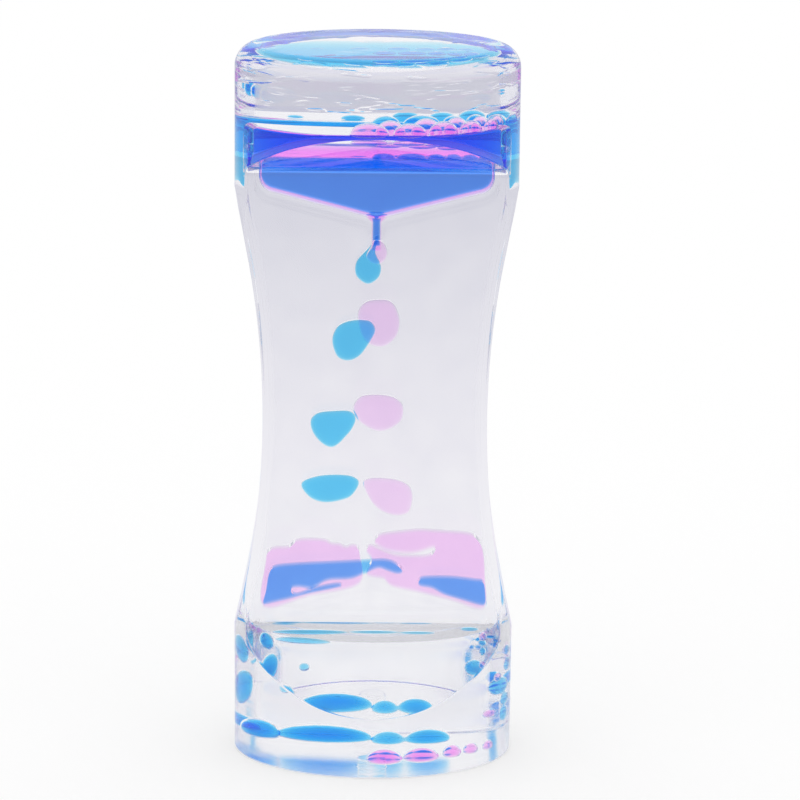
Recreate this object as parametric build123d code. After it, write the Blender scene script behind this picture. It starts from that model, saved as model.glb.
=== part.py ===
from build123d import *
import math
import os

# Liquid motion timer: a clear waisted vessel of two half shells with a front cell and a rear cell.
# Millimetres, +Z up, front towards -Y, origin at the centre of the base.

# Outer form of the vessel
lower_drum_height = 24.5
waist_height = 85.2
upper_drum_height = 26.8
drum_half_width = 26.5
drum_half_depth = 20.0
top_edge_radius = 4.0
waist_half_width = 21.0
slab_half_depth = 8.0
shoulder_run = 12.7
shoulder_slope = 37.0
scoop_fillet = 12.0

# Walls and plates
wall = 2.0
top_thickness = 3.0
base_thickness = 1.6
base_seat = 0.8
divider_thickness = 1.2
divider_seat = 1.0
fit_gap = 0.1
liquid_gap = 0.15

# Funnel plates: their depth below the end of the waist, how far the lower pair stands above its
# mirror image of the upper pair, and the lips that rise above the waist
funnel_sink = 5.75
lower_lift = 1.4
funnel_slope = 14.4
funnel_thickness = 1.6
funnel_corner = 3.0
lip_rise = 16.0
lip_thickness = 0.8
passage_width = 1.8
nozzle_length = 3.25
nozzle_radius = 1.8
nozzle_taper = 0.3
bore_radius = 1.0

# Filler plugs
plug_radius = 2.5
plug_offset = 10.0
plug_crown = 0.4

# Height of the liquid that waits in the upper drum, above the end of the waist
pink_depth = 13.4
blue_depth = 13.3

# Falling drops: place across, share of the fall from nozzle to nozzle, half width, height above and
# below the centre, and lean of the top. The large ones fill the cell but for a film of oil each side.
drop_film = 0.9
pink_drops = [
    dict(x=0.7, fall=0.042, half_width=1.55, rise=2.3, sink=2.0, lean=0.0, thick=2.6),
    dict(x=0.7, fall=0.238, half_width=4.1, rise=4.6, sink=4.6, lean=0.0),
    dict(x=0.9, fall=0.496, half_width=5.0, rise=3.4, sink=3.7, lean=0.0),
    dict(x=2.5, fall=0.738, half_width=5.1, rise=3.1, sink=4.4, lean=-0.25),
]
blue_drops = [
    dict(x=-1.5, fall=0.095, half_width=2.6, rise=3.6, sink=2.8, lean=0.15, thick=3.4),
    dict(x=-4.0, fall=0.304, half_width=4.1, rise=4.1, sink=4.0, lean=0.25),
    dict(x=-7.7, fall=0.559, half_width=4.6, rise=3.1, sink=4.2, lean=0.1),
    dict(x=-8.2, fall=0.735, half_width=5.7, rise=2.1, sink=3.3, lean=0.1),
]
cap_share = 0.7
shoulder_share = 0.92
shoulder_depth = 0.7

# Liquid on the lower plates: share of the plate's half width and height above the plate, from the lip inwards
pool_film = 0.6
pink_left_top = [(0.94, 8.6), (0.88, 11.9), (0.685, 12.3), (0.5, 11.6), (0.205, 9.2), (0.13, 7.0)]
pink_right_top = [(0.95, 11.0), (0.885, 14.8), (0.64, 14.5), (0.274, 12.2), (0.1, 10.2), (0.03, 6.2)]
blue_left_top = [(0.96, 4.6), (0.91, 7.0), (0.64, 6.6), (0.365, 5.4), (0.146, 4.3), (0.06, 2.8)]
blue_right_top = [(0.97, 3.6), (0.92, 5.4), (0.64, 4.3), (0.5, 3.0), (0.42, 1.8)]

# Beads on the upper pools: place across, distance from the divider's face, radius of the base circle
pink_beads = [
    (-2.5, 10.5, 2.8),
    (4.6, 10.0, 3.4),
    (11.2, 9.0, 2.6),
    (16.6, 6.5, 2.2),
    (1.2, 5.0, 1.9),
    (8.0, 4.6, 1.7),
]
blue_beads = [
    (0.6, 3.4, 2.6),
    (7.4, 3.8, 3.4),
    (13.4, 3.0, 2.2),
    (18.0, 3.4, 2.0),
    (3.2, 9.6, 2.2),
    (12.0, 9.4, 2.6),
]
bead_rise = 0.55

# Puddles on the floor: half length, half width and height. Pink ones lie along the drum at an angle
# from the front, blue ones along the divider at a place across.
puddle_film = 0.6
puddle_round = 0.6
pink_puddles = [(6, 3.1, 2.2, 2.4), (24, 3.2, 2.0, 2.2), (39, 1.8, 1.6, 1.7), (50, 1.5, 1.4, 1.5)]
blue_puddles = [(-17.2, 2.7, 2.0, 2.6), (-7.1, 7.0, 2.6, 2.9), (2.5, 2.3, 1.5, 2.3), (8.4, 3.2, 1.8, 2.4)]

# Beads in the side passages: distance from the mid plane, depth below the waist, half width, rise, sink
runoff_left_blue = dict(y=2.2, below=5.0, half_width=1.4, rise=3.0, sink=3.4)
runoff_right_blue = dict(y=2.2, below=6.5, half_width=1.4, rise=3.4, sink=3.0)
runoff_right_pink = dict(y=2.2, below=4.5, half_width=1.4, rise=2.2, sink=2.4)
runoff_gap = 0.2

# Places that follow from the sizes above
total_height = lower_drum_height + waist_height + upper_drum_height
waist_bottom = lower_drum_height
waist_top = waist_bottom + waist_height
waist_half_height = waist_height / 2
waist_middle = waist_bottom + waist_half_height
scoop_half_height = waist_half_height + shoulder_run
floor = base_thickness
ceiling = total_height - top_thickness
half_divider = divider_thickness / 2
reach = 2 * max(drum_half_width, drum_half_depth)
inside_half_width = drum_half_width - wall
inside_half_depth = drum_half_depth - wall
side_sag = drum_half_width - waist_half_width
side_arc = (waist_half_height**2 + side_sag**2) / (2 * side_sag)
slope_rise = math.tan(math.radians(shoulder_slope))
slope_stretch = 1 / math.cos(math.radians(shoulder_slope))
plate_rise = math.tan(math.radians(funnel_slope))
plate_drop = funnel_thickness / math.cos(math.radians(funnel_slope))
channel_depth = slab_half_depth - wall - half_divider
channel_middle = half_divider + channel_depth / 2
funnel_apex = waist_top - funnel_sink
nozzle_tip = funnel_apex - nozzle_length
fall_height = 2 * (nozzle_tip - waist_middle)
lip_top = waist_top + lip_rise
lip_outside = inside_half_width - passage_width
lip_inside = lip_outside - lip_thickness
pink_level = waist_top + pink_depth
blue_level = waist_top + blue_depth
funnel_middle = waist_middle + lower_lift / 2
mid_plane = Plane.XY.offset(funnel_middle)
left = -1
right = 1
front = -1
rear = 1


def drum(inset, low, high, top_edge):
    """Upright oval drum with a rounded top edge."""
    oval = Ellipse(drum_half_width - inset, drum_half_depth - inset)
    solid = Pos(0, 0, low) * extrude(oval, amount=high - low)
    if top_edge > 0:
        solid = fillet(solid.edges().group_by(Axis.Z)[-1], top_edge)
    return solid


def scoop(inset):
    """Prism that presses the rear of the vessel flat between two sloped shoulders."""
    depth = slab_half_depth - inset

    def half_opening(y):
        return scoop_half_height + inset * slope_stretch - (drum_half_depth - y) * slope_rise

    corners = [
        (depth, waist_middle - half_opening(depth)),
        (reach, waist_middle - half_opening(reach)),
        (reach, waist_middle + half_opening(reach)),
        (depth, waist_middle + half_opening(depth)),
    ]
    face = make_face(Polyline(corners, close=True))
    face = fillet(face.vertices().sort_by(Axis.X)[:2], scoop_fillet + inset)
    return extrude(Plane.YZ * face, amount=reach, both=True)


def vessel_form(inset, low, high, top_edge):
    """The vessel's outer form, drawn in by an inset on every side wall."""
    form = drum(inset, low, high, top_edge)
    for side in (-1, 1):
        centre = Pos(side * (waist_half_width + side_arc), 0, waist_middle)
        form -= centre * Rot(90, 0, 0) * Cylinder(side_arc + inset, 2 * reach)
    hollow = scoop(inset)
    form -= hollow
    form -= mirror(hollow, about=Plane.XZ)
    return form


def half_space(side, start):
    """Everything on one side of the divider, from a distance off the mid plane."""
    return Pos(0, side * (start + reach / 2), total_height / 2) * Box(2 * reach, reach, 2 * total_height)


def cell_space(side, gap):
    """Inside of one cell, held off its walls and the divider by a gap."""
    edge = top_edge_radius - wall
    space = vessel_form(wall + gap, floor + gap, ceiling - gap, edge)
    return space & half_space(side, half_divider + gap)


def half_shell(side):
    """One half of the vessel, with seats for the divider and the base plate."""
    shell = vessel_form(0, 0, total_height, top_edge_radius)
    shell -= vessel_form(wall, -floor, ceiling, top_edge_radius - wall)
    shell -= drum(wall - base_seat, -floor, floor, 0)
    seat = vessel_form(wall - divider_seat, floor, ceiling + divider_seat, 0)
    shell -= seat & Pos(0, 0, total_height / 2) * Box(2 * reach, divider_thickness, 2 * total_height)
    return shell & half_space(side, 0)


def divider_plate():
    """Upright plate between the cells, held in the seam of the two half shells."""
    form = vessel_form(wall - divider_seat + fit_gap, floor, ceiling + divider_seat - fit_gap, 0)
    return form & Pos(0, 0, total_height / 2) * Box(2 * reach, divider_thickness, 2 * total_height)


def base_plate():
    """Disc that closes the bottom, with a filling hole for each cell."""
    plate = drum(wall - base_seat + fit_gap, 0, floor, 0)
    for side in (front, rear):
        plate -= Pos(0, side * plug_offset, floor / 2) * Cylinder(plug_radius + fit_gap, 2 * floor)
    return plate


def filler_plug(side):
    """Plug in the base plate, with its crown inside the cell."""
    stem = Cylinder(plug_radius, floor, align=(Align.CENTER, Align.CENTER, Align.MIN))
    crown = Cylinder(plug_radius, plug_crown, align=(Align.CENTER, Align.CENTER, Align.MIN))
    plug = stem + Pos(0, 0, floor) * crown
    plug = chamfer(plug.edges().group_by(Axis.Z)[-1], plug_crown / 2)
    return Pos(0, side * plug_offset, 0) * plug


def plate_top(x):
    """Height of an upper funnel's inner face at a distance from the middle."""
    return funnel_apex + abs(x) * plate_rise


def mirrored_face(corners, rounds):
    """Face in the XZ plane from its right half, with some corners rounded."""
    face = make_face(Polyline(corners, close=True))
    for corner, radius in rounds:
        at = face.vertices().sort_by_distance((corner[0], corner[1], 0))[0]
        face = fillet(at, radius)
    return face + mirror(face, about=Plane.YZ)


def upright_prism(face):
    """Prism through both cells from a face drawn in x and z."""
    return extrude(Plane.XZ * face, amount=reach, both=True)


def funnel_form(gap):
    """V plate with an upturned lip at each end, thickened by a gap."""
    inner = (lip_inside - gap, plate_top(lip_inside) + gap)
    outer = (lip_outside + gap, plate_top(lip_outside) - plate_drop - gap)
    corners = [
        (0, plate_top(0) + gap),
        inner,
        (lip_inside - gap, lip_top + gap),
        (lip_outside + gap, lip_top + gap),
        outer,
        (0, plate_top(0) - plate_drop - gap),
    ]
    rounds = [(inner, funnel_corner - gap), (outer, funnel_corner + lip_thickness + gap)]
    return upright_prism(mirrored_face(corners, rounds))


def nozzle(side, gap):
    """Short taper tube under the middle of a funnel."""
    high = plate_top(0) - plate_drop / 2
    tube = Cone(nozzle_radius - nozzle_taper + gap, nozzle_radius + gap, high - nozzle_tip + gap)
    return Pos(0, side * channel_middle, (high + nozzle_tip - gap) / 2) * tube


def bore(side, radius, low, high):
    """Drip hole through a funnel and its nozzle."""
    return Pos(0, side * channel_middle, (low + high) / 2) * Cylinder(radius, high - low)


def turned_over(solid):
    """The same piece at the other end of the waist."""
    return mirror(solid, about=mid_plane)


def funnel(side, lower):
    """Funnel of one cell with its nozzle and drip hole, at the upper or the lower end."""
    hole = bore(side, bore_radius, nozzle_tip - bore_radius, funnel_apex + bore_radius)
    pieces = [funnel_form(0), nozzle(side, 0), hole]
    if lower:
        pieces = [turned_over(piece) for piece in pieces]
    plate, tube, hole = pieces
    return (plate & cell_space(side, fit_gap)) + tube - hole


def upper_pool(side, level, gap):
    """Coloured liquid above a funnel, and the thread of it in the drip hole."""
    inner = (lip_inside - gap, plate_top(lip_inside) + gap)
    corners = [(0, plate_top(0) + gap), inner, (lip_inside - gap, level), (0, level)]
    pool = upright_prism(mirrored_face(corners, [(inner, funnel_corner - gap)]))
    pool &= cell_space(side, gap)
    return pool + bore(side, bore_radius - gap, nozzle_tip, funnel_apex + funnel_corner)


def blob_outline(half_width, rise, sink, lean, share):
    """Closed smooth outline, wider and taller by its own amounts, with a leaning top."""
    points = []
    for step in range(8):
        turn = math.radians(45 * step)
        tall = rise if step < 4 else sink
        up = share * tall * math.sin(turn)
        points.append((share * half_width * math.cos(turn) + lean * up, up))
    return make_face(Spline(points, periodic=True))


def pancake(shape, thick):
    """Drop pressed flat between two plates, with rounded rims, about its own centre."""
    outline = [shape[key] for key in ("half_width", "rise", "sink", "lean")]
    half = thick / 2
    stations = [
        (-half, cap_share),
        (-half * shoulder_depth, shoulder_share),
        (0, 1),
        (half * shoulder_depth, shoulder_share),
        (half, cap_share),
    ]
    return loft([Plane.XZ.offset(y) * blob_outline(*outline, share) for y, share in stations])


def drop_place(side, shape):
    """Where a drop has got to, in the middle of its cell."""
    return Pos(shape["x"], side * channel_middle, nozzle_tip - shape["fall"] * fall_height)


def drop_thickness(shape):
    """Thickness of a drop between the front or rear wall and the divider."""
    return shape.get("thick", channel_depth - 2 * drop_film)


def falling_drop(side, shape):
    """One falling drop."""
    return drop_place(side, shape) * pancake(shape, drop_thickness(shape))


def drop_pocket(side, shape):
    """Room for a drop in the oil."""
    outline = [shape[key] + liquid_gap for key in ("half_width", "rise", "sink")]
    face = blob_outline(*outline, shape["lean"], 1)
    half = drop_thickness(shape) / 2 + liquid_gap
    return drop_place(side, shape) * extrude(Plane.XZ * face, amount=half, both=True)


def ramp_top(x):
    """Height of a lower plate's upper face."""
    return 2 * funnel_middle - plate_top(x) + plate_drop


def ramp_pool(side, end, top, lift, grow):
    """Liquid that lies on one slope of a lower plate, lifted off it or grown on its other sides."""
    crest = []
    for share, height in top:
        x = share * lip_inside
        crest.append((end * x, ramp_top(x) + height + grow))
    outer = crest[0][0] + end * grow
    inner = crest[-1][0] - end * grow
    crest[0] = (outer, crest[0][1])
    crest[-1] = (inner, crest[-1][1])
    feet = [(inner, ramp_top(inner) + lift), (outer, ramp_top(outer) + lift)]
    outline = Spline(crest) + Polyline(crest[-1], *feet, crest[0])
    half = channel_depth / 2 - pool_film + grow
    return Pos(0, side * channel_middle, 0) * extrude(Plane.XZ * make_face(outline), amount=half, both=True)


def surface_beads(side, level, beads):
    """Caps of liquid that lie on a pool and have not run into it."""
    caps = []
    for x, off, radius in beads:
        rise = bead_rise * radius
        ball = (radius**2 + rise**2) / (2 * rise)
        cap = Pos(0, 0, rise - ball) * Sphere(ball)
        cap &= Pos(0, 0, ball) * Box(4 * ball, 4 * ball, 2 * ball)
        caps.append(Pos(x, side * (half_divider + off), level + fit_gap) * cap)
    return caps


def puddle(half_length, half_width, height):
    """Flat lump of liquid that lies on the floor."""
    lump = extrude(Ellipse(half_length, half_width), amount=height)
    lump = fillet(lump.edges().group_by(Axis.Z)[-1], puddle_round)
    return Pos(0, 0, floor + fit_gap) * lump


def pink_floor():
    """Pink lumps along the front of the drum."""
    lumps = []
    for angle, half_length, half_width, height in pink_puddles:
        across = inside_half_width - puddle_film - half_width
        along = inside_half_depth - puddle_film - half_width
        turn = math.radians(angle)
        place = Pos(across * math.sin(turn), front * along * math.cos(turn), 0)
        tilt = math.degrees(math.atan2(along * math.sin(turn), across * math.cos(turn)))
        lumps.append(place * Rot(0, 0, tilt) * puddle(half_length, half_width, height))
    return lumps


def blue_floor():
    """Blue lumps along the divider."""
    lumps = []
    for x, half_length, half_width, height in blue_puddles:
        off = half_divider + puddle_film + half_width
        lumps.append(Pos(x, rear * off, 0) * puddle(half_length, half_width, height))
    return lumps


def runoff_bead(end, side, shape):
    """Bead squeezed between a plate's lip and the drum, on its way to the floor."""
    far = shape["y"] + shape["half_width"]
    drum_face = inside_half_width * math.sqrt(1 - (far / inside_half_depth) ** 2)
    thick = drum_face - lip_outside - 2 * runoff_gap
    bead = Rot(0, 0, 90) * pancake(dict(shape, lean=0.0), thick)
    return Pos(end * (lip_outside + drum_face) / 2, side * shape["y"], waist_bottom - shape["below"]) * bead


def boxed(solids):
    """Boxes round small solids, for their room in the oil."""
    rooms = []
    for solid in solids:
        box = solid.bounding_box()
        sides = [length + 2 * liquid_gap for length in (box.size.X, box.size.Y, box.size.Z)]
        rooms.append(Pos(box.center()) * Box(*sides))
    return rooms


def clear_oil(side, space, level, drops, pools, small):
    """Oil that fills the rest of a cell."""
    plates = [funnel_form(liquid_gap), nozzle(side, liquid_gap)]
    oil = space - plates
    oil -= [turned_over(plate) for plate in plates]
    oil -= upper_pool(side, level + liquid_gap, 0)
    oil -= [drop_pocket(side, shape) for shape in drops]
    oil -= pools
    return oil - boxed(small)


nodes = {}
nodes["front_shell"] = half_shell(front)
nodes["rear_shell"] = half_shell(rear)
nodes["divider_plate"] = divider_plate()
nodes["base_plate"] = base_plate()

cells = {
    "front": (front, "pink", pink_level, pink_drops, pink_beads, pink_floor()),
    "rear": (rear, "blue", blue_level, blue_drops, blue_beads, blue_floor()),
}
ramp_tops = {
    "pink": {"left": (left, pink_left_top), "right": (right, pink_right_top)},
    "blue": {"left": (left, blue_left_top), "right": (right, blue_right_top)},
}
runoffs = {
    "pink": {"right": (right, runoff_right_pink)},
    "blue": {"left": (left, runoff_left_blue), "right": (right, runoff_right_blue)},
}

for place, (side, colour, level, drops, beads, lumps) in cells.items():
    space = cell_space(side, liquid_gap)
    nodes[f"upper_funnel_{place}"] = funnel(side, lower=False)
    nodes[f"lower_funnel_{place}"] = funnel(side, lower=True)
    nodes[f"filler_plug_{place}"] = filler_plug(side)
    nodes[f"{colour}_upper_pool"] = upper_pool(side, level, liquid_gap)

    caps = surface_beads(side, level, beads)
    nodes[f"{colour}_surface_beads"] = Compound(caps)
    nodes[f"{colour}_base_puddle"] = Compound(lumps)
    small = caps + lumps + [nodes[f"filler_plug_{place}"]]
    for number, shape in enumerate(drops, 1):
        nodes[f"{colour}_drop_{number}"] = falling_drop(side, shape)

    rooms = []
    nozzle_room = turned_over(nozzle(side, liquid_gap))
    for name, (end, top) in ramp_tops[colour].items():
        nodes[f"{colour}_ramp_pool_{name}"] = (ramp_pool(side, end, top, liquid_gap, 0) & space) - nozzle_room
        rooms.append(ramp_pool(side, end, top, 0, liquid_gap))

    for name, (end, shape) in runoffs[colour].items():
        bead = runoff_bead(end, side, shape)
        nodes[f"{colour}_runoff_bead_{name}"] = bead
        small.append(bead)

    nodes[f"clear_oil_{place}"] = clear_oil(side, space, level, drops, rooms, small)

os.makedirs("parts", exist_ok=True)
for name, solid in nodes.items():
    export_step(solid, f"parts/{name}.step")
    print(name, len(solid.solids()), round(solid.volume, 1))
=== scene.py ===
import math

import bmesh
import bpy
from mathutils import Matrix, Vector


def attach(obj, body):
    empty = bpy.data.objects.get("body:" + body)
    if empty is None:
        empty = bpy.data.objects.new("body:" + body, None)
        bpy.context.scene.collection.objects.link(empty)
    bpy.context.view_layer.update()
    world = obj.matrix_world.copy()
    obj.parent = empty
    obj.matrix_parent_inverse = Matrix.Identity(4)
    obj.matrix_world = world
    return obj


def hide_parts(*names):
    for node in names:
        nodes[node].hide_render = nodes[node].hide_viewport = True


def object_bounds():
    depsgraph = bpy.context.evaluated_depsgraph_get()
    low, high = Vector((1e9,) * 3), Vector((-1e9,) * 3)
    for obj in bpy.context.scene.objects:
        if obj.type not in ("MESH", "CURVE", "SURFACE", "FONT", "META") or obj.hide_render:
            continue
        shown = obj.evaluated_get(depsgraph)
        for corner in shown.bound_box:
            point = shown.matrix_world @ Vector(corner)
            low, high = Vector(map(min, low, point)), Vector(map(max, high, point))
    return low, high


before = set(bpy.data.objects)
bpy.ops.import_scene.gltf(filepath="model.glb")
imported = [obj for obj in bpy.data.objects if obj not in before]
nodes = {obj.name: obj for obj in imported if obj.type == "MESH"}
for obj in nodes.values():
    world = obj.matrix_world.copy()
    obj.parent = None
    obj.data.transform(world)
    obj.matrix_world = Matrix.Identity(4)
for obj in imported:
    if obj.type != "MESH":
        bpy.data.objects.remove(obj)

cadLow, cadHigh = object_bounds()
mm = 0.001
print("stage: frame loaded,", len(nodes), "solids")


# shader helpers

class Wire:
    # a socket that can be added, multiplied and so on, each sum adding a Math node
    def __init__(self, tree, socket=None):
        self.tree = tree
        self.socket = socket

    def plug(self, node, key, value):
        socket = node.inputs[key]
        if isinstance(value, Wire):
            self.tree.links.new(value.socket, socket)
        else:
            socket.default_value = value

    def make(self, kind, settings=None, sockets=None, out=0):
        node = self.tree.nodes.new("ShaderNode" + kind)
        for name, value in (settings or {}).items():
            if name == "stops":
                ramp = node.color_ramp.elements
                while len(ramp) < len(value):
                    ramp.new(1.0)
                for stop, (place, colour) in zip(ramp, value):
                    stop.position = place
                    stop.color = colour
            else:
                setattr(node, name, value)
        for key, value in (sockets or {}).items():
            self.plug(node, key, value)
        return Wire(self.tree, node.outputs[out]) if node.outputs else node

    def sum(self, operation, first, second):
        return self.make("Math", {"operation": operation}, {0: first, 1: second})

    def __add__(self, other):
        return self.sum("ADD", self, other)

    def __radd__(self, other):
        return self.sum("ADD", other, self)

    def __sub__(self, other):
        return self.sum("SUBTRACT", self, other)

    def __rsub__(self, other):
        return self.sum("SUBTRACT", other, self)

    def __mul__(self, other):
        return self.sum("MULTIPLY", self, other)

    def __rmul__(self, other):
        return self.sum("MULTIPLY", other, self)

    def __pow__(self, other):
        return self.sum("POWER", self, other)

    def __rpow__(self, other):
        return self.sum("POWER", other, self)


def newTree(owner):
    owner.use_nodes = True
    owner.node_tree.nodes.clear()
    return Wire(owner.node_tree)


clearFinish = dict(
    airIndex=1.49,  # moulded acrylic against air
    oilIndex=1.005,  # the same acrylic against the oil, which nearly hides it
    plugIndex=1.03,
    plateIndex=1.002,  # the thin funnels, which it hides further
    tint=(0.0, 0.03, 0.35, 1.0),
    density=1.8,  # per metre of path, through wall and oil together
    footMatt=0.2,  # roughness of the face that it stands on
    smudgeSize=160.0,
    smudge=[(0.3, (0.985, 0.985, 0.99, 1)), (0.7, (1, 1, 1, 1))],
    haze=0.02,  # most roughness that smudges give the skin
    hazeFall=3.0,
    ripple=0.024,  # height of the moulding's soft waves, in mm
    rippleSize=55.0,
    streak=0.07,  # height of the short flow marks on the upper drum, in mm
    streakSize=(130.0, 130.0, 900.0),
    streakFrom=0.55,
    streakTo=0.67,
    streakFoot=0.1272,  # height that they begin at, in metres
)


def clearPlastic(name, index, density=0.0, skin=False, matt=0.0):
    finish = clearFinish
    material = bpy.data.materials.new(name)
    tree = newTree(material)
    place = tree.make("TexCoord", out="Object")
    smudge = tree.make("TexNoise", None, {"Vector": place, "Scale": finish["smudgeSize"], "Detail": 3.0})
    clean = tree.make("ValToRGB", {"stops": finish["smudge"]}, {"Fac": smudge})
    sockets = {"Base Color": clean, "Roughness": matt, "Transmission Weight": 1.0, "IOR": index}
    if skin:
        sockets["Roughness"] = finish["haze"] * smudge ** finish["hazeFall"]
        long = tree.make("Mapping", None, {"Vector": place, "Scale": finish["streakSize"]})
        streak = tree.make("TexNoise", None, {"Vector": long, "Scale": 1.0, "Detail": 1.0})
        streak = tree.make("MapRange", {"interpolation_type": "SMOOTHSTEP"}, {
            "Value": streak, "From Min": finish["streakFrom"], "From Max": finish["streakTo"],
        })
        height = tree.make("SeparateXYZ", None, {"Vector": place}, out="Z")
        drum = tree.sum("GREATER_THAN", height, finish["streakFoot"])
        ripple = tree.make("TexNoise", None, {"Vector": place, "Scale": finish["rippleSize"], "Detail": 1.0})
        waves = finish["ripple"] * ripple + finish["streak"] * streak * drum
        sockets["Normal"] = tree.make("Bump", None, {"Strength": 1.0, "Distance": mm, "Height": waves})
    ends = {"Surface": tree.make("BsdfPrincipled", None, sockets)}
    if density > 0:
        ends["Volume"] = tree.make("VolumeAbsorption", None, {"Color": finish["tint"], "Density": density})
    tree.make("OutputMaterial", None, ends)
    return material


outerSkin = clearPlastic("acrylicOuter", clearFinish["airIndex"], clearFinish["density"], True)
footSkin = clearPlastic(
    "acrylicFoot", clearFinish["airIndex"], clearFinish["density"], matt=clearFinish["footMatt"]
)
innerSkin = clearPlastic("acrylicInner", clearFinish["oilIndex"])
funnelLook = clearPlastic("acrylicFunnel", clearFinish["plateIndex"])
plugSkin = clearPlastic("acrylicPlug", clearFinish["plugIndex"])
cemented = clearPlastic("acrylicCemented", 1.0)
oilLook = clearPlastic("clearOil", 1.0)

dye = dict(
    cloudSize=120.0,
    cloud=[(0.3, (0.97, 0.975, 0.985, 1)), (0.7, (1, 1, 1, 1))],
    recipes=dict(  # index against the oil, colour that passes and density per metre of path
        blueDrop=(0.984, (0.0, 0.814, 1.0, 1.0), 596.0),
        blueRamp=(0.988, (0.0, 0.71, 1.0, 1.0), 380.0),
        bluePool=(0.93, (0.0, 0.835, 1.0, 1.0), 430.0),
        blueStrand=(0.988, (0.0, 0.74, 1.0, 1.0), 1300.0),
        bluePuddle=(0.9, (0.0, 0.79, 1.0, 1.0), 1000.0),
        pinkDrop=(0.984, (1.0, 0.0, 0.98, 1.0), 82.0),
        pinkRamp=(0.988, (1.0, 0.0, 0.98, 1.0), 78.0),
        pinkPool=(0.93, (1.0, 0.0, 0.99, 1.0), 138.0),
        pinkStrand=(0.988, (1.0, 0.0, 0.98, 1.0), 260.0),
        pinkPuddle=(0.9, (1.0, 0.0, 0.95, 1.0), 240.0),
    ),
)


def liquid(name, index, colour, density):
    # dyed water: the colour comes from the length of path through it
    material = bpy.data.materials.new(name)
    tree = newTree(material)
    place = tree.make("TexCoord", out="Object")
    cloud = tree.make("TexNoise", None, {"Vector": place, "Scale": dye["cloudSize"], "Detail": 2.0})
    clean = tree.make("ValToRGB", {"stops": dye["cloud"]}, {"Fac": cloud})
    surface = tree.make("BsdfPrincipled", None, {
        "Base Color": clean, "Roughness": 0.0, "Transmission Weight": 1.0, "IOR": index,
    })
    volume = tree.make("VolumeAbsorption", None, {"Color": colour, "Density": density})
    tree.make("OutputMaterial", None, {"Surface": surface, "Volume": volume})
    return material


dyed = {name: liquid(name, *recipe) for name, recipe in dye["recipes"].items()}
cellSide = dict(pink=-1, blue=1)  # the pink cell is in front of the divider
print("stage: finishes mixed")


# mesh helpers

sharpAngle = math.radians(40)
weldDistance = 0.002 * mm


def dress(name, bm, materials, body, replaced=()):
    mesh = bpy.data.meshes.new(name)
    bm.to_mesh(mesh)
    bm.free()
    piece = bpy.data.objects.new(name, mesh)
    bpy.context.scene.collection.objects.link(piece)
    for material in materials:
        mesh.materials.append(material)
    mesh.shade_smooth()
    mesh.set_sharp_from_angle(angle=sharpAngle)
    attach(piece, body)
    if replaced:
        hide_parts(*replaced)
    return piece


def bend(points, share):
    # point on a curve that leaves and reaches its ends towards the points between
    while len(points) > 1:
        points = [a.lerp(b, share) for a, b in zip(points, points[1:])]
    return points[0]


def shares(count):
    return [step / count for step in range(count)]


def wrap(bm, rows, slots=None):
    # a skin over rows of closed loops, each row at its own height
    columns = len(rows[0][1]) - 1
    last = len(rows) - 1
    bmesh.ops.create_grid(bm, x_segments=columns, y_segments=last, size=0.5)
    for face in bm.faces:
        if slots:
            face.material_index = slots[int((face.calc_center_median().y + 0.5) * last)]
    for vert in bm.verts:
        z, loop = rows[round((vert.co.y + 0.5) * last)]
        x, y = loop[round((vert.co.x + 0.5) * columns)]
        vert.co = (x, y, z)
    bmesh.ops.remove_doubles(bm, verts=bm.verts, dist=weldDistance)
    bmesh.ops.recalc_face_normals(bm, faces=bm.faces)


# the vessel: two half shells cemented on the mid plane

vessel = dict(
    halfWidth=(cadHigh.x - cadLow.x) / 2,
    halfDepth=(cadHigh.y - cadLow.y) / 2,
    height=cadHigh.z,
    waistBottom=24.5 * mm,
    waistTop=109.7 * mm,
    waistHalfWidth=21 * mm,
    slabHalfDepth=8 * mm,
    upper=dict(run=12.7 * mm, slope=math.radians(34), round=2.5 * mm),  # scoop below the upper drum
    lower=dict(run=12.7 * mm, slope=math.radians(45.5), round=7.5 * mm),  # and above the lower one
    topRound=4 * mm,
    wall=2 * mm,
    topWall=3 * mm,
    floor=1.6 * mm,
    seat=0.8 * mm,
    ledgeGap=0.03 * mm,  # keeps the ledge off the divider's foot
    edge=0.5 * mm,
    flatSteps=12,
    cornerSteps=4,
    arcSteps=14,
    sideSteps=8,
    slabRows=14,
    roundRows=9,
    slopeRows=16,
    drumRows=5,
    footShares=(0.25, 0.5, 0.75, 1.0),
    topRings=6,
    topRoundRows=8,
    edgeShares=(1 / 3, 2 / 3, 1.0),
    leastAxis=1e-9,  # metres, for the ring that closes to a point
)
outerFace, innerFace, seatFace = range(3)  # material slots of the shell, the base disc and the plugs
waistMiddle = (vessel["waistBottom"] + vessel["waistTop"]) / 2
waistHalf = (vessel["waistTop"] - vessel["waistBottom"]) / 2
sideSag = vessel["halfWidth"] - vessel["waistHalfWidth"]
sideArc = (waistHalf**2 + sideSag**2) / (2 * sideSag)


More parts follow.
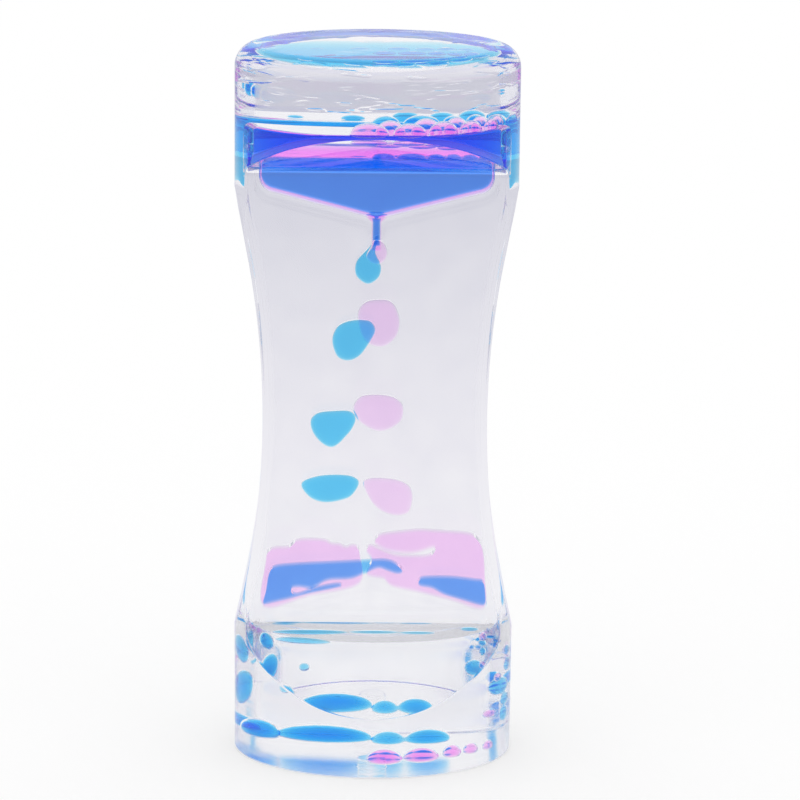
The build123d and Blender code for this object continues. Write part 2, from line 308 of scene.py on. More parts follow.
def quarterSection(a, b, width, depth, edge):
    # a quarter of an oval with a flat face and a flat side, from the middle of one to that of the other
    width = min(width, a)
    depth = min(depth, b)
    first = Vector((a * math.sqrt(max(1 - (depth / b) ** 2, 0)), depth))
    last = Vector((width, b * math.sqrt(max(1 - (width / a) ** 2, 0))))
    if first.x >= width:
        first = last = Vector((width, depth))
    startTurn = math.atan2(first.x / a, first.y / b)
    endTurn = math.atan2(last.x / a, last.y / b)
    flatCut = min(edge, first.x / 2)
    sideCut = min(edge, last.y / 2)
    flatEnd = first - Vector((flatCut, 0))
    sideStart = last - Vector((0, sideCut))
    points = [Vector((0, depth)).lerp(flatEnd, s) for s in shares(vessel["flatSteps"])]

    def onArc(turn):
        return Vector((a * math.sin(turn), b * math.cos(turn)))

    if b * (endTurn - startTurn) > 2 * edge:
        startTurn += flatCut / a
        endTurn -= sideCut / b
        points += [bend([flatEnd, first, onArc(startTurn)], s) for s in shares(vessel["cornerSteps"])]
        points += [onArc(startTurn + (endTurn - startTurn) * s) for s in shares(vessel["arcSteps"])]
        points += [bend([onArc(endTurn), last, sideStart], s) for s in shares(vessel["cornerSteps"])]
    else:
        steps = 2 * vessel["cornerSteps"] + vessel["arcSteps"]
        points += [bend([flatEnd, first, last, sideStart], s) for s in shares(steps)]
    points += [sideStart.lerp(Vector((width, 0)), s) for s in shares(vessel["sideSteps"])]
    return points + [Vector((width, 0))]


def ring(inset, width, depth, edge, scale=1.0):
    a = (vessel["halfWidth"] - inset) * scale
    b = (vessel["halfDepth"] - inset) * scale
    least = vessel["leastAxis"]
    quarter = quarterSection(max(a, least), max(b, least), width, depth, edge)
    back = quarter[::-1]
    loop = [(p.x, -p.y) for p in quarter[:-1]]
    loop += [(p.x, p.y) for p in back[:-1]]
    loop += [(-p.x, p.y) for p in quarter[:-1]]
    loop += [(-p.x, -p.y) for p in back]
    return loop


def sideWidth(rise, inset):
    # half the width between the waist's curved sides, at a distance from its middle
    arc = sideArc + inset
    return vessel["waistHalfWidth"] + sideArc - math.sqrt(arc**2 - rise**2) if rise < arc else math.inf


def scoopRows(inset, end):
    # half of the scoop: distance from the waist's middle, and the flat face's depth there
    slope = vessel[end]["slope"]
    depth = vessel["slabHalfDepth"] - inset
    deepest = vessel["halfDepth"] - inset
    opening = waistHalf + vessel[end]["run"] + inset / math.cos(slope)
    radius = vessel[end]["round"] + inset
    corner = opening - (vessel["halfDepth"] - depth) * math.tan(slope)
    turn = math.pi / 2 - slope
    start = corner - radius * math.tan(turn / 2)
    rows = [(start * s, depth) for s in shares(vessel["slabRows"])]
    for s in shares(vessel["roundRows"]):
        rows.append((start + radius * math.sin(turn * s), depth + radius * (1 - math.cos(turn * s))))
    slopeStart = depth + radius * (1 - math.cos(turn))
    lowTurn = math.acos(slopeStart / deepest)
    for s in shares(vessel["slopeRows"]):
        y = deepest * math.cos(lowTurn * (1 - s))
        rows.append((opening - (vessel["halfDepth"] - y) * math.tan(slope), y))
    rows.append((opening - inset * math.tan(slope), deepest))
    return rows


def faceDepth(z, inset):
    # how far the scooped face stands from the mid plane at a height of the upper drum
    rows = scoopRows(inset, "upper")
    for (low, near), (high, far) in zip(rows, rows[1:]):
        if low <= z - waistMiddle < high:
            return near + (far - near) * (z - waistMiddle - low) / (high - low)
    return vessel["halfDepth"]


def wallRows(inset, top, bottom):
    # from the end of the top's round down to the foot
    rows = [(waistMiddle + rise, depth) for rise, depth in scoopRows(inset, "upper")[:0:-1]]
    rows += [(waistMiddle - rise, depth) for rise, depth in scoopRows(inset, "lower")]
    rows = [(top - (top - rows[0][0]) * s, math.inf) for s in shares(vessel["drumRows"])] + rows
    rows += [(rows[-1][0] + (bottom - rows[-1][0]) * s, math.inf) for s in vessel["footShares"]]
    loops = []
    for z, depth in rows:
        loops.append((z, ring(inset, sideWidth(abs(z - waistMiddle), inset), depth, vessel["edge"])))
    return loops


def ovalRow(z, inset, scale=1.0):
    return (z, ring(inset, math.inf, math.inf, 0, scale))


def topRows(inset, top):
    edge = vessel["topRound"] - inset
    rows = [ovalRow(top, inset + edge, s) for s in shares(vessel["topRings"])]
    for s in shares(vessel["topRoundRows"]):
        turn = math.pi / 2 * s
        rows.append(ovalRow(top - edge * (1 - math.cos(turn)), inset + edge * (1 - math.sin(turn))))
    return rows


def buildVessel():
    edge = vessel["edge"]
    wall = vessel["wall"]
    seat = wall - vessel["seat"]
    ceiling = vessel["height"] - vessel["topWall"]
    outer = topRows(0, vessel["height"])
    outer += wallRows(0, vessel["height"] - vessel["topRound"], edge)
    for s in vessel["edgeShares"]:
        turn = math.pi / 2 * s
        outer.append(ovalRow(edge * (1 - math.sin(turn)), edge * (1 - math.cos(turn))))
    ledge = vessel["floor"] + vessel["ledgeGap"]
    seated = [ovalRow(0, seat), ovalRow(ledge, seat), ovalRow(ledge, wall)]
    inner = topRows(wall, ceiling)
    inner += wallRows(wall, ceiling - vessel["topRound"] + wall, ledge)
    rows = outer + seated + inner[-2::-1]
    slots = [outerFace] * len(outer) + [seatFace] * (len(seated) - 1) + [innerFace] * len(inner)
    bm = bmesh.new()
    wrap(bm, rows, slots)
    piece = dress("vesselShell", bm, [outerSkin, innerSkin, cemented], "vessel",
                  ["front_shell", "rear_shell"])
    piece.modifiers.new("evenShading", "WEIGHTED_NORMAL").keep_sharp = True


buildVessel()
print("stage: vessel built")


# the base disc and its two filler plugs

base = dict(
    gap=0.1 * mm,
    seatGap=0.02 * mm,  # keeps the disc off the ledge above it
    rimSteps=128,
    plugSteps=48,
    plugRadius=2.5 * mm,
    plugOffset=10 * mm,
    plugCrown=0.4 * mm,
    plugBevel=0.2 * mm,
    plugBevelSteps=2,
)


def buildBase():
    bm = bmesh.new()
    inset = vessel["wall"] - vessel["seat"] + base["gap"]
    rim = Matrix.Diagonal((vessel["halfWidth"] - inset, vessel["halfDepth"] - inset, 1, 1))
    bmesh.ops.create_circle(bm, segments=base["rimSteps"], radius=1.0, matrix=rim)
    for side in (-1, 1):
        hole = Matrix.Translation((0, side * base["plugOffset"], 0))
        radius = base["plugRadius"] + base["gap"]
        bmesh.ops.create_circle(bm, segments=base["plugSteps"], radius=radius, matrix=hole)
    flat = bmesh.ops.triangle_fill(bm, use_beauty=True, edges=bm.edges)
    faces = [f for f in flat["geom"] if isinstance(f, bmesh.types.BMFace)]
    raised = bmesh.ops.extrude_face_region(bm, geom=faces, use_keep_orig=True)["geom"]
    top = [f for f in raised if isinstance(f, bmesh.types.BMFace)]
    verts = [v for v in raised if isinstance(v, bmesh.types.BMVert)]
    bmesh.ops.translate(bm, verts=verts, vec=(0, 0, vessel["floor"] - base["seatGap"]))
    for face in bm.faces:
        face.material_index = seatFace
    for face in top:
        face.material_index = innerFace
    for face in faces:
        face.material_index = outerFace
    bmesh.ops.recalc_face_normals(bm, faces=bm.faces)
    piece = dress("baseDisc", bm, [footSkin, innerSkin, cemented], "vessel", ["base_plate"])
    piece.modifiers.new("evenShading", "WEIGHTED_NORMAL").keep_sharp = True


def buildPlug(place, side):
    bm = bmesh.new()
    spot = Matrix.Translation((0, side * base["plugOffset"], 0))
    rim = bmesh.ops.create_circle(
        bm, cap_ends=True, segments=base["plugSteps"], radius=base["plugRadius"], matrix=spot
    )["verts"]
    foot = rim[0].link_faces[0]
    raised = bmesh.ops.extrude_face_region(bm, geom=[foot], use_keep_orig=True)["geom"]
    verts = [v for v in raised if isinstance(v, bmesh.types.BMVert)]
    crown = next(f for f in raised if isinstance(f, bmesh.types.BMFace))
    bmesh.ops.translate(bm, verts=verts, vec=(0, 0, vessel["floor"] + base["plugCrown"]))
    for face in bm.faces:
        face.material_index = seatFace
    crown.material_index = innerFace
    foot.material_index = outerFace
    bmesh.ops.bevel(bm, geom=crown.edges[:], offset=base["plugBevel"], affect="EDGES",
                    segments=base["plugBevelSteps"], profile=0.5, material=-1)
    bmesh.ops.recalc_face_normals(bm, faces=bm.faces)
    dress("fillerPlug" + place.capitalize(), bm, [footSkin, plugSkin, plugSkin], "vessel",
          ["filler_plug_" + place])


buildBase()
buildPlug("front", -1)
buildPlug("rear", 1)
print("stage: base closed")


# liquids: helpers

def smoothLoop(points, steps=5):
    # closed curve through every point
    count = len(points)
    loop = []
    for i in range(count):
        before, start, end, after = (Vector(points[(i + k) % count]) for k in (-1, 0, 1, 2))
        for s in shares(steps):
            bow = (2 * before - 5 * start + 4 * end - after) * s**2
            turn = (3 * start - before - 3 * end + after) * s**3
            loop.append((2 * start + (end - before) * s + bow + turn) / 2)
    return loop


rounding = dict(
    shares=(0.02, 0.08, 0.18, 0.32, 0.68, 0.82, 0.92, 0.98, 1.0),  # of the depth, one row at each
    reach=0.32,  # share of the depth that each round takes
)


def pancake(bm, outline, near, far, centre=(0, 0), swell=0.0):
    # a flat body of liquid between two walls, its rim rounded by a share of its size
    # the outline is upright, in mm
    middle = Vector((centre[0], near, centre[1])) * mm
    loop = smoothLoop(outline)
    disc = bmesh.ops.create_circle(bm, cap_ends=True, segments=len(loop), radius=1.0)["verts"]
    for vert, point in zip(disc, loop):
        vert.co = middle + Vector((point.x, 0, point.y)) * mm * (1 - swell)
    face = disc[0].link_faces[0]
    size = 1 - swell
    depth = 0.0
    for share in rounding["shares"] if swell else (1.0,):
        raised = bmesh.ops.extrude_face_region(bm, geom=[face], use_keep_orig=depth == 0)["geom"]
        verts = [v for v in raised if isinstance(v, bmesh.types.BMVert)]
        face = next(f for f in raised if isinstance(f, bmesh.types.BMFace))
        inward = max(1 - min(share, 1 - share) / rounding["reach"], 0)
        grown = 1 - swell * (1 - math.sqrt(1 - inward**2))
        bmesh.ops.scale(bm, verts=verts, vec=(grown / size, 1, grown / size), space=Matrix.Translation(-middle))
        bmesh.ops.translate(bm, verts=verts, vec=(0, (far - near) * (share - depth) * mm, 0))
        size = grown
        depth = share
    bmesh.ops.recalc_face_normals(bm, faces=bm.faces)


def lump(bm, centre, half, foot=0.3, turn=0.0):
    # a resting bead, full above its middle and flat below
    verts = bmesh.ops.create_icosphere(bm, subdivisions=3, radius=1.0)["verts"]
    for vert in verts:
        if vert.co.z < 0:
            vert.co.z *= foot
    place = Matrix.Translation(Vector(centre) * mm) @ Matrix.Rotation(math.radians(turn), 4, "Y")
    bmesh.ops.transform(bm, matrix=place @ Matrix.Diagonal((*(Vector(half) * mm), 1)), verts=verts)


def cutAway(bm, point, outward):
    # drops what lies beyond a plane and closes the cut
    geom = bm.verts[:] + bm.edges[:] + bm.faces[:]
    cut = bmesh.ops.bisect_plane(bm, geom=geom, dist=1e-7, plane_co=point, plane_no=outward, clear_outer=True)
    edges = [e for e in cut["geom_cut"] if isinstance(e, bmesh.types.BMEdge)]
    bmesh.ops.holes_fill(bm, edges=edges)


def pour(name, bm, look, body, replaced, grain, rounds):
    # one skin over all the lumps, its grain in mm, drawn smooth as surface tension does
    piece = dress(name, bm, [look], body, replaced)
    skin = piece.modifiers.new("oneSkin", "REMESH")
    skin.mode = "VOXEL"
    skin.voxel_size = grain * mm
    skin.use_smooth_shade = True
    tension = piece.modifiers.new("surfaceTension", "SMOOTH")
    tension.factor = 0.5
    tension.iterations = rounds


# the two pools that wait above the upper funnels, each with its strand through the drip hole

pool = dict(  # in mm
    gap=0.15,
    divider=0.6,
    lip=21.9,
    corner=3.0,
    plate=103.95,
    pinkFilm=0.65,  # oil left between the plate and the liquid
    blueFilm=0.0,
    slope=math.tan(math.radians(14.4)),
    channel=3.3,
    pinkDome=3.0,  # round of each surface along the divider
    blueDome=4.5,
    rim=1.2,  # and along the wall and the lips
    rimSteps=5,
    cornerSteps=4,
    domeSteps=6,
    rings=6,
    pinkLevel=122.6,
    blueLevel=122.7,
    grain=0.3,
    rounds=6,
    strand=[(106.0, 3.2), (103.95, 0.94), (98.6, 0.94)],  # height and radius
    strandOverlap=0.2,
    strandTop=0.5,  # how far it reaches above the pool's foot
    strandSteps=24,
    strandGrain=0.15,
    strandRounds=4,
)


def tangents(centre, start, end, radius, steps):
    # planes that round a corner, from one outward direction to another
    turn = start.angle(end)
    for step in range(steps + 1):
        share = step / steps
        outward = (start * math.sin(turn * (1 - share)) + end * math.sin(turn * share)) / math.sin(turn)
        yield centre + radius * outward, outward


def buildUpperPool(colour, side):
    gap = pool["gap"]
    dome = pool[colour + "Dome"]
    rim = pool["rim"]
    inset = vessel["wall"] + gap * mm
    level = pool[colour + "Level"]
    start = (level - rim) * mm
    rows = []
    for step in range(pool["rimSteps"], -1, -1):
        turn = math.pi / 2 * step / pool["rimSteps"]
        z = start + rim * math.sin(turn) * mm
        pull = rim * (1 - math.cos(turn)) * mm
        rows.append((z, inset + pull, sideWidth(z - waistMiddle, inset) - pull, faceDepth(z, inset) - pull))
    z, pulled, width, depth = rows[0]
    skin = [(z, ring(pulled, width * s, depth * s, 0, s)) for s in shares(pool["rings"])]
    skin += [(z, ring(pulled, width, depth, vessel["edge"])) for z, pulled, width, depth in rows]
    skin += [row for row in wallRows(inset, start, vessel["floor"]) if row[0] < start]
    bm = bmesh.new()
    wrap(bm, skin)
    up = Vector((0, 0, 1))
    lip = pool["lip"] - gap
    plate = pool["plate"] + pool[colour + "Film"] + gap
    corner = pool["corner"]
    steps = pool["cornerSteps"]
    under = Vector((pool["slope"], 0, -1)).normalized()
    planes = []
    for end in (-1, 1):
        outward = Vector((end, 0, 0))
        below = Vector((end * under.x, 0, under.z))
        foot = Vector((end * (lip - corner), 0, plate + pool["slope"] * (lip - corner) - corner / under.z))
        planes += tangents(foot, below, outward, corner, steps)
        planes += tangents(Vector((end * (lip - rim), 0, level - rim)), outward, up, rim, steps)
    near = Vector((0, -side, 0))
    crest = Vector((0, side * (pool["divider"] + gap + dome), level - dome))
    planes += tangents(crest, near, up, dome, pool["domeSteps"])
    for point, outward in sorted(planes, key=lambda plane: plane[1].z):
        cutAway(bm, point * mm, outward)
    pour(colour + "UpperPool", bm, dyed[colour + "Pool"], "vessel", [colour + "_upper_pool"],
         pool["grain"], pool["rounds"])


def buildStrand(colour, side):
    bm = bmesh.new()
    for (high, wide), (low, narrow) in zip(pool["strand"], pool["strand"][1:]):
        place = Matrix.Translation(Vector((0, side * pool["channel"], (high + low) / 2)) * mm)
        bmesh.ops.create_cone(bm, cap_ends=True, segments=pool["strandSteps"], radius1=narrow * mm,
                              radius2=wide * mm, depth=(high - low + pool["strandOverlap"]) * mm, matrix=place)
    foot = pool["plate"] + pool[colour + "Film"] + pool["gap"]
    cutAway(bm, (0, 0, (foot + pool["strandTop"]) * mm), (0, 0, 1))
    pour(colour + "Strand", bm, dyed[colour + "Strand"], "vessel", (),
         pool["strandGrain"], pool["strandRounds"])


for colour, side in cellSide.items():
    buildUpperPool(colour, side)
for colour, side in cellSide.items():
    buildStrand(colour, side)


# beads that rest on the two pools: middle, then half width, half depth and height, in mm

beads = dict(
    pink=[
        ((-1.4, -15.2, 122.7), (3.5, 2.0, 2.2)), ((5.7, -14.9, 122.7), (3.0, 2.0, 2.1)),
        ((11.5, -13.4, 122.7), (2.7, 2.0, 2.3)), ((16.2, -10.9, 122.7), (2.2, 1.9, 2.0)),
        ((19.5, -7.6, 122.7), (1.5, 1.7, 1.8)), ((2.2, -11.2, 122.7), (2.4, 1.8, 2.2)),
        ((8.2, -10.6, 122.7), (2.6, 1.8, 2.5)), ((13.2, -8.9, 122.7), (2.2, 1.7, 2.4)),
        ((17.0, -6.6, 122.7), (1.7, 1.5, 2.2)), ((19.7, -4.4, 122.6), (1.4, 1.4, 2.0)),
    ],
    blue=[
        ((1.2, 2.9, 122.1), (2.2, 1.7, 1.9)), ((6.4, 2.9, 122.1), (2.8, 1.7, 2.0)),
        ((11.0, 2.9, 122.1), (1.7, 1.6, 1.8)), ((14.2, 2.9, 122.1), (1.5, 1.6, 1.9)),
        ((17.3, 2.9, 122.1), (1.6, 1.5, 1.7)), ((20.0, 2.9, 122.0), (1.1, 1.4, 1.5)),
        ((-3.4, 6.6, 122.9), (1.8, 1.4, 0.8)), ((3.9, 6.8, 122.9), (2.1, 1.5, 1.5)),
        ((8.9, 6.6, 122.9), (2.0, 1.4, 1.3)), ((12.9, 6.8, 122.9), (1.9, 1.5, 1.5)),
        ((16.4, 6.6, 122.9), (1.5, 1.4, 1.2)), ((-11.4, 6.2, 122.9), (1.2, 1.0, 0.5)),
    ],
)


def buildBeads(colour):
    bm = bmesh.new()
    for centre, half in beads[colour]:
        lump(bm, centre, half)
    bmesh.ops.recalc_face_normals(bm, faces=bm.faces)
    look = dyed[colour + "Puddle"]
    dress(colour + "SurfaceBeads", bm, [look], "vessel", [colour + "_surface_beads"])


buildBeads("pink")
buildBeads("blue")
print("stage: upper liquid built")


# falling drops: middle and outline, in mm

drops = dict(
    pink_drop_1=((0.7, 98.03), [
        (-2.6, -0.5), (-2.0, -1.5), (-1.1, -2.0), (0, -2.0), (0.9, -1.3), (1.4, 0.2), (0.7, 2.0), (0, 2.4),
        (-1.3, 2.4), (-1.7, 1.2),
    ]),
    pink_drop_2=((0.7, 84.71), [
        (-4.1, 1.3), (-3.5, 3.2), (-2.2, 4.2), (-0.3, 4.5), (1.6, 4.4), (2.9, 3.3), (3.8, 0.6), (3.5, -1.9),
        (2.4, -3.5), (0.9, -4.5), (-0.6, -4.5), (-2.1, -3.9), (-3.4, -2.2),
    ]),
    pink_drop_3=((0.9, 67.22), [
        (-5.0, 1.0), (-4.1, 2.9), (-3.0, 3.5), (-0.7, 3.7), (1.5, 3.5), (3.2, 2.9), (4.4, 1.5), (4.3, -0.8),
        (3.3, -2.1), (1.6, -3.1), (-0.1, -3.4), (-1.8, -2.9), (-4.0, -1.3),
    ]),
    pink_drop_4=((2.5, 50.46), [
        (-4.6, 2.9), (-4.3, 3.8), (-2.9, 4.2), (-1.1, 4.2), (1.2, 4.0), (3.1, 3.4), (4.3, 2.4), (4.8, 0.5),
        (4.3, -2.1), (3.2, -2.9), (1.7, -3.1), (0, -2.7), (-1.7, -1.8), (-3.3, 0),
    ]),
    blue_drop_1=((-1.5, 94.72), [
        (-2.5, -0.5), (-2.1, 1.0), (-1.0, 2.3), (0.1, 3.5), (0.9, 4.8), (1.2, 5.6), (2.2, 5.6), (1.3, 2.9),
        (2.2, 0.6), (2.5, -0.5), (2.2, -2.0), (1.3, -3.0), (0, -3.6), (-1.3, -3.0), (-2.3, -1.9),
    ]),
    blue_drop_2=((-4.0, 80.32), [
        (-4.2, -0.1), (-3.4, 2.3), (-2.1, 3.3), (-0.4, 3.8), (1.4, 3.9), (3.1, 3.6), (4.0, 2.1), (3.5, 0.6),
        (1.7, -2.3), (0.4, -3.5), (-1.0, -4.0), (-2.3, -3.8), (-3.4, -2.9),
    ]),
    blue_drop_3=((-7.7, 62.59), [
        (-4.5, 1.9), (-3.6, 3.2), (-2.3, 3.7), (-0.2, 3.9), (2.1, 4.0), (3.4, 3.7), (4.2, 2.5), (3.4, 0.4),
        (2.1, -1.2), (1.0, -2.4), (-0.5, -3.2), (-2.4, -2.3), (-4.0, -0.3),
    ]),
    blue_drop_4=((-8.2, 50.71), [
        (-5.7, 1.0), (-5.1, 2.1), (-2.5, 3.0), (0.4, 3.3), (3.0, 3.2), (4.5, 2.8), (5.4, 1.7), (4.0, -0.7),
        (2.1, -1.6), (-0.4, -2.1), (-2.4, -1.9), (-4.2, -1.0),
    ]),
)
dropForm = dict(
    near=1.5,  # from the divider's middle, so that a drop touches neither wall
    far=5.1,
    swell=0.22,
    grain=0.25,
    rounds=16,
)

for name, (centre, outline) in drops.items():
    bm = bmesh.new()
    colour = name.split("_")[0]
    side = cellSide[colour]
    pancake(bm, outline, side * dropForm["near"], side * dropForm["far"], centre, dropForm["swell"])
    pour(name.replace("_drop_", "FallingDrop"), bm, dyed[colour + "Drop"], name, [name],
         dropForm["grain"], dropForm["rounds"])
print("stage: drops built")


# liquid that lies on the lower plates: outlines in mm

rampPools = dict(
    pink_ramp_pool_left=[
        (-20.9, 29.2), (-20.4, 38.3), (-20.0, 40.1), (-18.5, 40.8), (-16.2, 40.9), (-14.7, 42.2), (-12.1, 42.5),
        (-9.2, 42.3), (-7.9, 41.6), (-6.4, 41.5), (-5.2, 40.9), (-4.5, 41.3), (-3.2, 41.2), (-2.6, 39.8),
        (-2.7, 33.9), (-12.0, 31.5),
    ],
    pink_ramp_pool_right=[
        (-1.4, 35.9), (0.5, 35.2), (2.0, 35.0), (3.5, 33.5), (8.5, 32.4), (15.0, 30.8), (21.0, 29.3),
        (21.1, 35.7), (20.7, 40.6), (19.7, 42.8), (17.8, 43.9), (11.9, 44.3), (8.7, 44.5), (5.0, 44.1),
        (1.2, 43.5), (0.1, 42.4), (0.4, 41.8), (2.3, 40.7), (4.6, 40.2), (7.8, 40.2), (10.7, 41.1),
        (11.8, 41.4), (10.7, 39.6), (7.3, 39.3), (4.2, 39.5), (2.0, 40.3), (-0.7, 41.4), (-1.4, 40.4),
        (-0.3, 38.7),
    ],
    blue_ramp_pool_left=[
        (-21.2, 28.2), (-20.5, 31.0), (-19.9, 34.6), (-18.6, 35.8), (-14.0, 36.3), (-7.3, 36.7), (-2.2, 37.0),
        (2.2, 37.2), (4.3, 36.5), (5.6, 35.2), (4.5, 34.7), (2.4, 35.4), (0.8, 35.8), (-1.9, 34.6),
        (-4.5, 33.6), (-8.7, 33.3), (-11.7, 31.7), (-14.0, 31.9), (-15.7, 31.6), (-14.8, 30.2), (-11.1, 31.5),
        (-7.3, 32.3), (-6.2, 32.0), (-12.1, 30.5), (-19.7, 28.6),
    ],
    blue_ramp_pool_right=[
        (8.5, 33.1), (9.6, 33.8), (14.6, 33.9), (19.4, 33.4), (21.1, 33.0), (21.5, 30.4), (21.4, 28.4),
        (17.5, 29.4), (13.7, 30.5), (11.2, 31.9), (8.9, 32.3),
    ],
)
rampForm = dict(
    near=0.85,
    far=5.75,
    grain=0.2,
    rounds=20,
)

for name, outline in rampPools.items():
    bm = bmesh.new()
    colour, *_, end = name.split("_")
    side = cellSide[colour]
    pancake(bm, outline, side * rampForm["near"], side * rampForm["far"])
    pour(colour + "RampPool" + end.capitalize(), bm, dyed[colour + "Ramp"], "vessel", [name],
         rampForm["grain"], rampForm["rounds"])


# puddles on the floor of the lower drum: middle, then half width, half depth and height, in mm

puddles = dict(
    blue=[
        ((-7.0, 3.6, 2.7), (7.2, 2.8, 2.6)), ((2.4, 2.3, 2.5), (2.6, 1.5, 2.0)),
        ((8.3, 2.8, 2.5), (3.5, 2.0, 2.2)), ((-16.6, 3.4, 2.7), (3.1, 2.6, 2.7)),
        ((-17.4, 8.6, 2.5), (2.6, 2.4, 2.0)),
    ],
    pink=[
        ((2.2, -14.5, 2.6), (3.3, 2.7, 2.3)), ((8.8, -13.2, 2.6), (3.3, 2.4, 2.2)),
        ((14.1, -10.2, 2.5), (1.8, 2.0, 1.9)), ((17.3, -8.2, 2.4), (1.5, 1.6, 1.6)),
        ((20.3, -6.0, 2.3), (1.2, 1.4, 1.4)),
    ],
    foot=0.4,
    grain=0.2,
    rounds=4,
)


def buildPuddle(colour):
    bm = bmesh.new()
    for centre, half in puddles[colour]:
        lump(bm, centre, half, puddles["foot"])
    pour(colour + "BasePuddle", bm, dyed[colour + "Puddle"], "vessel", [colour + "_base_puddle"],
         puddles["grain"], puddles["rounds"])


buildPuddle("blue")
buildPuddle("pink")


# beads and streaks on the divider and on the lips of the lower plates: as above, then a turn in degrees

clinging = dict(
    blue=[
        ((-20.3, 2.4, 19.0), (1.4, 1.6, 2.8), -12), ((-19.9, 2.5, 11.4), (1.8, 1.8, 3.6), 14),
        ((-13.1, 1.5, 12.4), (1.05, 0.7, 0.9), 0), ((19.4, 2.0, 12.3), (1.9, 1.2, 1.8), -25),
        ((20.6, 2.0, 9.5), (0.9, 1.1, 1.3), 10), ((20.4, 2.0, 6.6), (0.8, 1.1, 1.6), 0),
        ((21.0, 2.2, 16.4), (0.7, 1.0, 1.4), 0), ((20.9, 2.2, 19.2), (0.8, 1.1, 1.1), 0),
        ((-12.0, 1.75, 22.1), (7.4, 1.0, 0.75), 0), ((0.2, 1.55, 22.3), (5.0, 0.8, 0.5), 0),
        ((8.4, 1.55, 22.2), (3.6, 0.8, 0.45), 0), ((18.4, 1.55, 23.4), (1.8, 0.8, 0.6), 0),
        ((-13.4, 1.55, 19.6), (5.4, 0.8, 1.0), 5),
    ],
    pink=[
        ((19.8, -3.6, 8.4), (1.5, 1.3, 0.9), 0), ((21.0, -2.4, 15.2), (0.8, 1.0, 0.9), 0),
        ((20.9, -2.4, 22.6), (0.8, 1.0, 1.2), 0),
    ],
    foot=1.0,
    grain=0.15,
    rounds=3,
)

for colour in ("blue", "pink"):
    bm = bmesh.new()
    for centre, half, turn in clinging[colour]:
        lump(bm, centre, half, clinging["foot"], turn)
    pour(colour + "ClingingBeads", bm, dyed[colour + "Puddle"], "vessel", (),
         clinging["grain"], clinging["rounds"])
print("stage: lower liquid built")


# solids that stay as they are and only get their finish

for name, solid in nodes.items():
    if name.startswith("clear_oil"):
        look = oilLook
    elif name.startswith("blue"):
        look = dyed["blueDrop"]
    elif name.startswith("pink"):
        look = dyed["pinkDrop"]
    elif "funnel" in name:
        look = funnelLook
    else:
        look = innerSkin
    solid.data.materials.clear()
    solid.data.materials.append(look)
print("stage: finishes set")


# studio: floor, surroundings and camera

studio = dict(
    floorSize=40.0,
    floorDrop=0.02 * mm,
    floorColour=(0.5, 0.5, 0.5, 1.0),
    floorGlow=0.55,
    daylight=0.9,
    backdrop=1.0,
    paintedPoolStops=[  # painted pool of light: what the floor adds where the plastic shows it, brightest near the object and darker and bluer by distance in metres
        (0.018, (0.66, 0.66, 0.66, 1)), (0.03, (0.52, 0.52, 0.53, 1)),
        (0.22, (0.43, 0.42, 0.46, 1)), (0.64, (0.20, 0.20, 0.27, 1)),
    ],
    bounces=200,  # enough for light to pass every wall and drop
    glossyBounces=100,
)


def seenRay(tree, *kinds):
    # 1 for rays of these kinds
    path = tree.make("LightPath").socket.node.outputs
    seen = Wire(tree.tree, path[f"Is {kinds[0]} Ray"])
    for kind in kinds[1:]:
        seen = tree.sum("MAXIMUM", seen, Wire(tree.tree, path[f"Is {kind} Ray"]))
    return seen


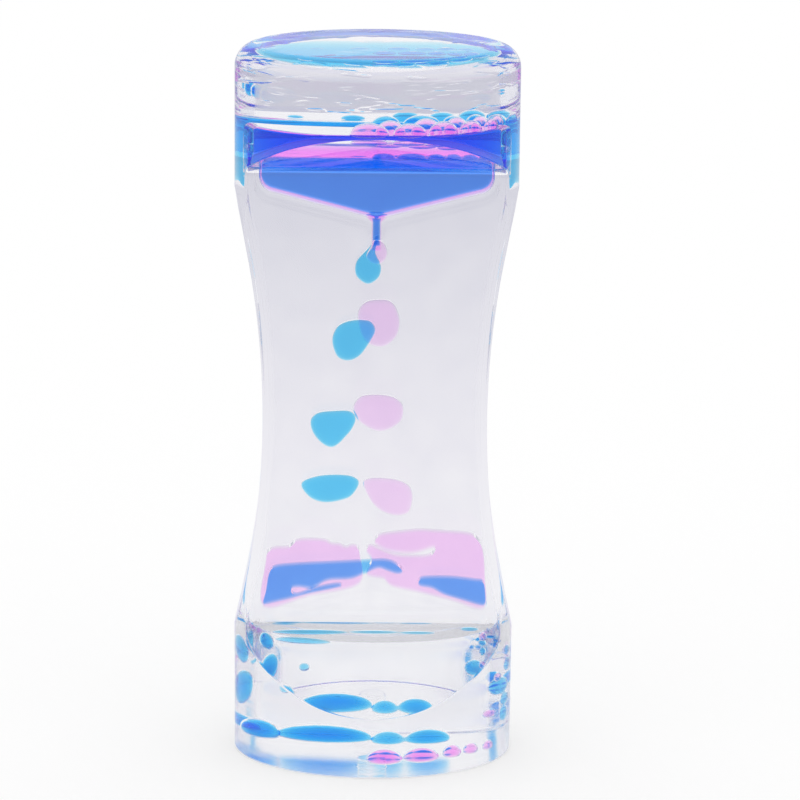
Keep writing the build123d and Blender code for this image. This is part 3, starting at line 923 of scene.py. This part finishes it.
def buildFloor():
    bm = bmesh.new()
    bmesh.ops.create_grid(bm, x_segments=1, y_segments=1, size=studio["floorSize"] / 2)
    mesh = bpy.data.meshes.new("studioFloor")
    bm.to_mesh(mesh)
    bm.free()
    floor = bpy.data.objects.new("studioFloor", mesh)
    floor.location.z = -studio["floorDrop"]
    bpy.context.scene.collection.objects.link(floor)
    material = bpy.data.materials.new("paleFloor")
    tree = newTree(material)
    lit = tree.make("BsdfDiffuse", None, {"Color": studio["floorColour"]})
    place = tree.make("TexCoord", out="Object")
    away = tree.make("VectorMath", {"operation": "LENGTH"}, {0: place}, out="Value")
    # painted pool of light on the floor, bright under the object and fading with distance, seen only through
    # the plastic and in reflections
    paintedPool = tree.make("ValToRGB", {"stops": studio["paintedPoolStops"]}, {"Fac": away})
    white = (*[studio["floorGlow"]] * 3, 1.0)
    # camera rays get the even white glow, glossy and transmission rays get the painted pool of light
    glowWithPaintedPool = tree.make("Mix", {"data_type": "RGBA"}, {0: seenRay(tree, "Camera"), 6: paintedPool, 7: white}, out=2)
    seen = seenRay(tree, "Camera", "Glossy", "Transmission")
    shine = tree.make("Emission", None, {"Color": glowWithPaintedPool, "Strength": seen})
    surface = tree.make("AddShader", None, {0: lit, 1: shine})
    tree.make("OutputMaterial", None, {"Surface": surface})
    mesh.materials.append(material)


def buildWorld():
    world = bpy.data.worlds.new("softWhite")
    bpy.context.scene.world = world
    tree = newTree(world)
    light = tree.make("Background", None, {"Color": (1, 1, 1, 1), "Strength": studio["daylight"]})
    white = tree.make("Background", None, {"Color": (1, 1, 1, 1), "Strength": studio["backdrop"]})
    seen = seenRay(tree, "Camera", "Glossy", "Transmission")
    both = tree.make("MixShader", None, {0: seen, 1: light, 2: white})
    tree.make("OutputWorld", None, {"Surface": both})


view = dict(
    distance=0.8,
    aim=0.069,
    elevation=math.radians(14.7),
    sensor=36,
    lens=190.8,
    reach=20,
    roll=math.radians(0.5),
    imageSize=800,
    centreX=375,  # pixel of the photo that the camera aims at
    centreY=397.5,
)


def buildCamera():
    data = bpy.data.cameras.new("photoCamera")
    camera = bpy.data.objects.new("photoCamera", data)
    bpy.context.scene.collection.objects.link(camera)
    data.sensor_width = view["sensor"]
    data.lens = view["lens"]
    data.clip_end = view["reach"]
    data.shift_x = (view["imageSize"] / 2 - view["centreX"]) / view["imageSize"]
    data.shift_y = (view["centreY"] - view["imageSize"] / 2) / view["imageSize"]
    tilt = view["elevation"]
    aim = Vector((0, 0, view["aim"]))
    camera.location = aim + view["distance"] * Vector((0, -math.cos(tilt), math.sin(tilt)))
    turn = Matrix.Rotation(math.pi / 2 - tilt, 4, "X") @ Matrix.Rotation(view["roll"], 4, "Z")
    camera.rotation_euler = turn.to_euler()
    bpy.context.scene.camera = camera


buildFloor()
buildWorld()
buildCamera()
bpy.context.scene.view_settings.view_transform = "Standard"
bpy.context.scene.cycles.max_bounces = studio["bounces"]
bpy.context.scene.cycles.transmission_bounces = studio["bounces"]
bpy.context.scene.cycles.glossy_bounces = studio["glossyBounces"]
print("stage: studio set")
